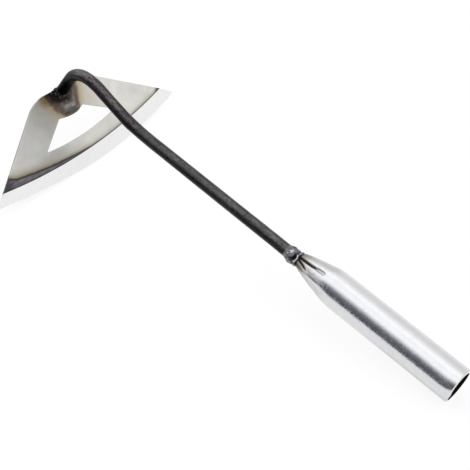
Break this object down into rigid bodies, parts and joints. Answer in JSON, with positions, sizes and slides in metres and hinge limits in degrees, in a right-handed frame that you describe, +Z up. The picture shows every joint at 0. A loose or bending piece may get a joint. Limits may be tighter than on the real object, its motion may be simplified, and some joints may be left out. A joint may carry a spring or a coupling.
{
  "type": "hollow draw hoe",
  "caption": "Hand-held draw hoe: fan blade with a triangular window, bent rod neck and a tubular steel socket handle, all welded.",
  "frame": {"origin": "middle of the tool's footprint, on the floor that it rests on", "axes": "+X along the tool from the blade towards the socket's mouth, +Y across the blade, +Z up from the floor, in the resting pose: cutting edge and tube rim on the floor"},
  "size_m": [0.3274, 0.1574, 0.0768],
  "materials": {
    "blade_steel": "satin sheet steel with heat tint round the welds and a bright ground edge",
    "scaled_steel": "dark mill scale, satin",
    "bright_steel": "bright drawn tube, glossy with fine lengthwise streaks",
    "weld_metal": "burnt blue-grey weld bead, lumpy"
  },
  "bodies": {
    "root": {"blade_plate": "blade_steel", "neck_rod": "scaled_steel", "socket_handle": "bright_steel", "collar_weld": "weld_metal", "neck_weld": "weld_metal", "rear_weld_left": "weld_metal", "rear_weld_right": "weld_metal"}
  },
  "joints": []
}
